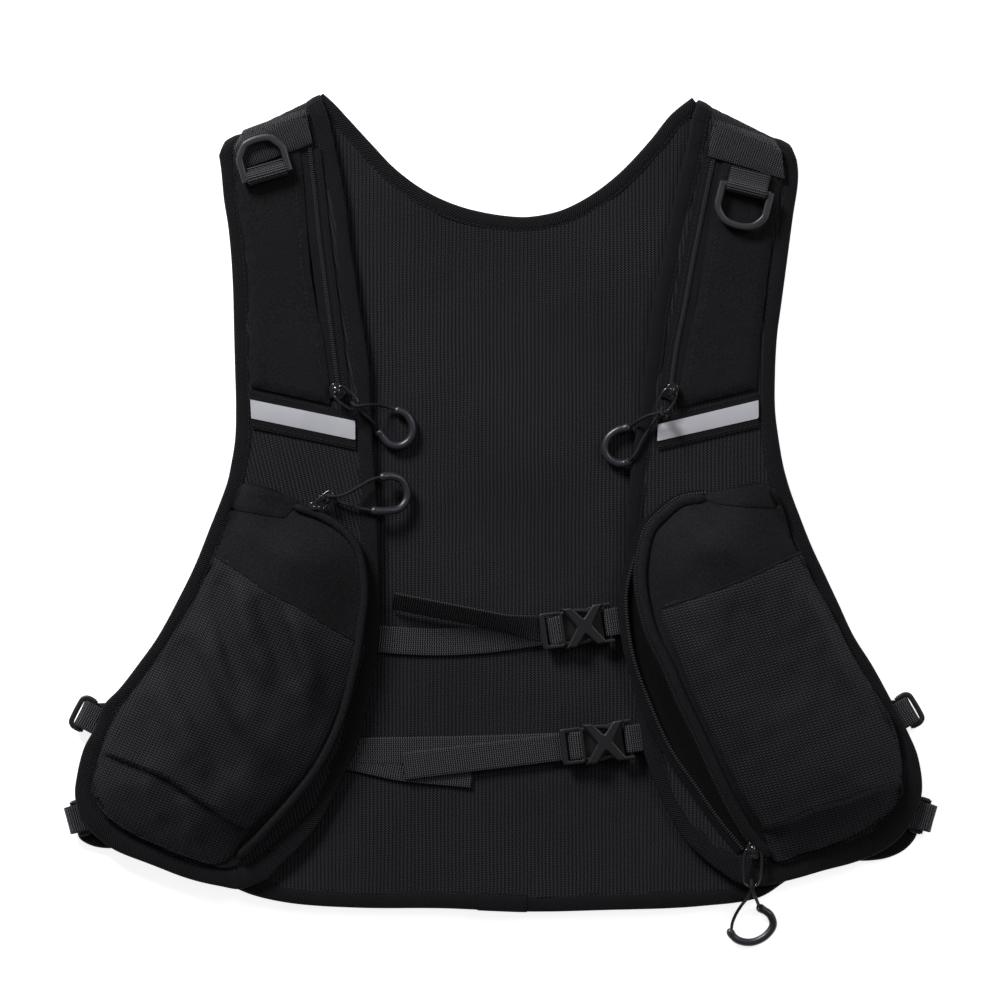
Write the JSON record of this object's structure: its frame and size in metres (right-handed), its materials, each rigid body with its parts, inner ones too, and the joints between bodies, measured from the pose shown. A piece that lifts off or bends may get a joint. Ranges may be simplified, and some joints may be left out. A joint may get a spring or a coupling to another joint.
{
  "type": "pocket vest",
  "caption": "Light black mesh vest with bound edges, reflective chest bands, zipped pockets with cord pulls, buckled chest straps, side straps and shoulder D-rings.",
  "frame": {"origin": "under the middle of the vest, on the surface that its back lies on", "axes": "+Z away from that surface, +Y towards the collar, +X towards the vest's left arm"},
  "size_m": [0.4796, 0.4704, 0.0426],
  "materials": {
    "spacer_mesh": "matt knitted spacer mesh with rows of small holes",
    "softshell": "matt smooth woven stretch cloth",
    "binding_tape": "matt twill edge tape with a stitch line",
    "webbing": "ribbed polyester webbing with a faint sheen",
    "foam": "closed-cell foam, not seen",
    "reflective": "silver retroreflective tape",
    "zip": "zip tape with a nylon coil",
    "cord": "round braided cord",
    "hardware": "moulded acetal with a satin gloss",
    "grip": "soft glossy moulded finger loop"
  },
  "bodies": {
    "root": {"back_shell": "softshell", "back_foam": "foam", "back_lining": "spacer_mesh", "neck_binding": "binding_tape", "back_binding": "binding_tape", "l_front_panel": "spacer_mesh", "l_mesh_pocket": "spacer_mesh", "l_front_binding": "binding_tape", "l_shoulder_pocket": "softshell", "l_pocket_body": "softshell", "l_shoulder_patch": "webbing", "l_d_ring_loop": "webbing", "l_side_strap_upper": "webbing", "l_side_strap_lower": "webbing", "l_side_buckle_lower": "hardware", "l_reflective_band": "reflective", "l_chest_zip": "zip", "l_pocket_zip": "zip", "r_front_panel": "spacer_mesh", "r_mesh_pocket": "spacer_mesh", "r_front_binding": "binding_tape", "r_shoulder_pocket": "softshell", "r_pocket_body": "softshell", "r_shoulder_patch": "webbing", "r_d_ring_loop": "webbing", "r_side_strap_upper": "webbing", "r_side_strap_lower": "webbing", "r_side_buckle_lower": "hardware", "r_reflective_band": "reflective", "r_chest_zip": "zip", "r_pocket_zip": "zip", "r_pocket_slider": "hardware", "chest_strap_upper": "webbing", "chest_anchor_upper": "webbing", "chest_buckle_female_upper": "hardware", "chest_strap_lower": "webbing", "chest_anchor_lower": "webbing", "chest_buckle_female_lower": "hardware"},
    "l_d_ring": {"l_d_ring": "hardware"},
    "r_d_ring": {"r_d_ring": "hardware"},
    "l_chest_runner": {"l_chest_slider": "hardware"},
    "r_chest_runner": {"r_chest_slider": "hardware"},
    "l_pocket_runner": {"l_pocket_slider": "hardware"},
    "l_chest_pull": {"l_chest_puller": "hardware", "l_chest_cord": "cord", "l_chest_grip": "grip"},
    "r_chest_pull": {"r_chest_puller": "hardware", "r_chest_cord": "cord", "r_chest_grip": "grip"},
    "l_pocket_pull": {"l_pocket_puller": "hardware", "l_pocket_cord": "cord", "l_pocket_grip": "grip"},
    "r_pocket_pull": {"r_pocket_puller": "hardware", "r_pocket_cord": "cord", "r_pocket_grip": "grip"},
    "upper_buckle_male": {"chest_buckle_male_upper": "hardware"},
    "lower_buckle_male": {"chest_buckle_male_lower": "hardware"},
    "l_side_buckle": {"l_side_buckle_upper": "hardware"},
    "r_side_buckle": {"r_side_buckle_upper": "hardware"}
  },
  "joints": [
    {"name": "l_d_ring_swing", "type": "hinge", "parent": "root", "child": "l_d_ring", "pos_m": [-0.1279, 0.1798, 0.0191], "axis": [0.9613, 0.2756, 0], "range_deg": [0, 170]},
    {"name": "r_d_ring_swing", "type": "hinge", "parent": "root", "child": "r_d_ring", "pos_m": [0.1348, 0.1716, 0.0191], "axis": [-0.9703, 0.2419, 0], "range_deg": [0, 170]},
    {"name": "l_chest_zip_run", "type": "slide", "parent": "root", "child": "l_chest_runner", "axis": [-0.1123, 0.9937, 0], "range_m": [0, 0.11], "deforming": ["l_chest_cord", "l_chest_grip"]},
    {"name": "r_chest_zip_run", "type": "slide", "parent": "root", "child": "r_chest_runner", "axis": [0.1828, 0.9831, 0], "range_m": [0, 0.075], "deforming": ["r_chest_cord", "r_chest_grip"]},
    {"name": "l_pocket_zip_run", "type": "hinge", "parent": "root", "child": "l_pocket_runner", "pos_m": [-0.1152, -0.0476, 0.0153], "axis": [0, 0, -1], "range_deg": [0, 30]},
    {"name": "l_chest_pull_swing", "type": "hinge", "parent": "l_chest_runner", "child": "l_chest_pull", "pos_m": [-0.0894, 0.0614, 0.0189], "axis": [-0.6428, -0.766, 0], "range_deg": [0, 95]},
    {"name": "l_pocket_pull_swing", "type": "hinge", "parent": "l_pocket_runner", "child": "l_pocket_pull", "pos_m": [-0.1014, 0.0028, 0.0185], "axis": [0.0698, -0.9976, 0], "range_deg": [0, 95]},
    {"name": "r_chest_pull_swing", "type": "hinge", "parent": "r_chest_runner", "child": "r_chest_pull", "pos_m": [0.0937, 0.061, 0.0189], "axis": [-0.8746, 0.4848, 0], "range_deg": [0, 95]},
    {"name": "r_pocket_pull_swing", "type": "hinge", "parent": "root", "child": "r_pocket_pull", "pos_m": [0.1384, -0.1906, 0.0185], "axis": [-0.9986, 0.0523, 0], "range_deg": [0, 95]},
    {"name": "upper_buckle_release", "type": "slide", "parent": "root", "child": "upper_buckle_male", "axis": [-0.9903, -0.1392, 0], "range_m": [0, 0.02], "deforming": ["chest_strap_upper"]},
    {"name": "lower_buckle_release", "type": "slide", "parent": "root", "child": "lower_buckle_male", "axis": [-0.9925, -0.1219, 0], "range_m": [0, 0.02], "deforming": ["chest_strap_lower"]},
    {"name": "l_side_buckle_swing", "type": "hinge", "parent": "root", "child": "l_side_buckle", "pos_m": [-0.2273, -0.1176, 0.005], "axis": [0.4617, 0.887, 0], "range_deg": [-15, 60]},
    {"name": "r_side_buckle_swing", "type": "hinge", "parent": "root", "child": "r_side_buckle", "pos_m": [0.2229, -0.1158, 0.005], "axis": [0.5045, -0.8634, 0], "range_deg": [-15, 60]}
  ]
}
